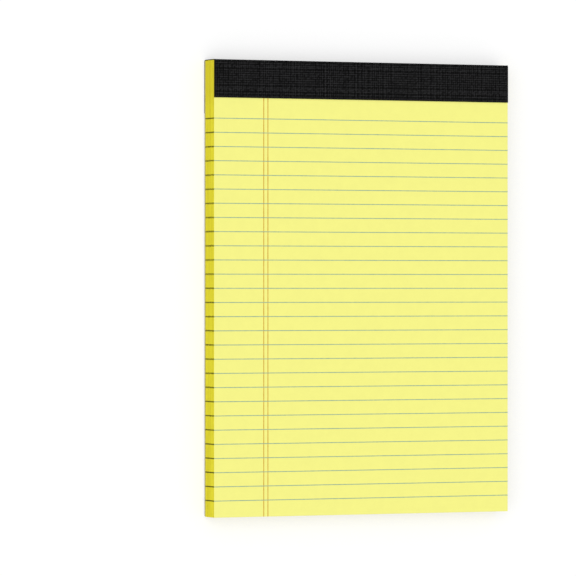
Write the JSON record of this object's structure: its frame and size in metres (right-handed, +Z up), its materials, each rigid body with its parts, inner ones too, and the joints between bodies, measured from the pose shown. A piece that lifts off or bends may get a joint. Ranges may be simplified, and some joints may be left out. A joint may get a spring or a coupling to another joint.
{
  "type": "legal pad",
  "caption": "Ruled writing pad with a double margin line, a stiff back and a folded tape binding at its head, stitched through with wire.",
  "frame": {"origin": "under the middle of the pad, on the surface that it lies on", "axes": "+X across the pad to the right as it is read, +Y towards the bound head, +Z up out of the front sheet"},
  "size_m": [0.216, 0.299, 0.0161],
  "materials": {
    "yellow_paper": "matt uncoated writing paper",
    "grey_board": "matt grey chipboard",
    "black_tape": "cloth-textured binding tape with a low sheen",
    "steel_wire": "bright galvanised wire"
  },
  "bodies": {
    "root": {"ruled_sheets": "yellow_paper", "backing_board": "grey_board", "binding_tape": "black_tape", "staple_left": "steel_wire", "staple_middle": "steel_wire", "staple_right": "steel_wire"}
  },
  "joints": []
}
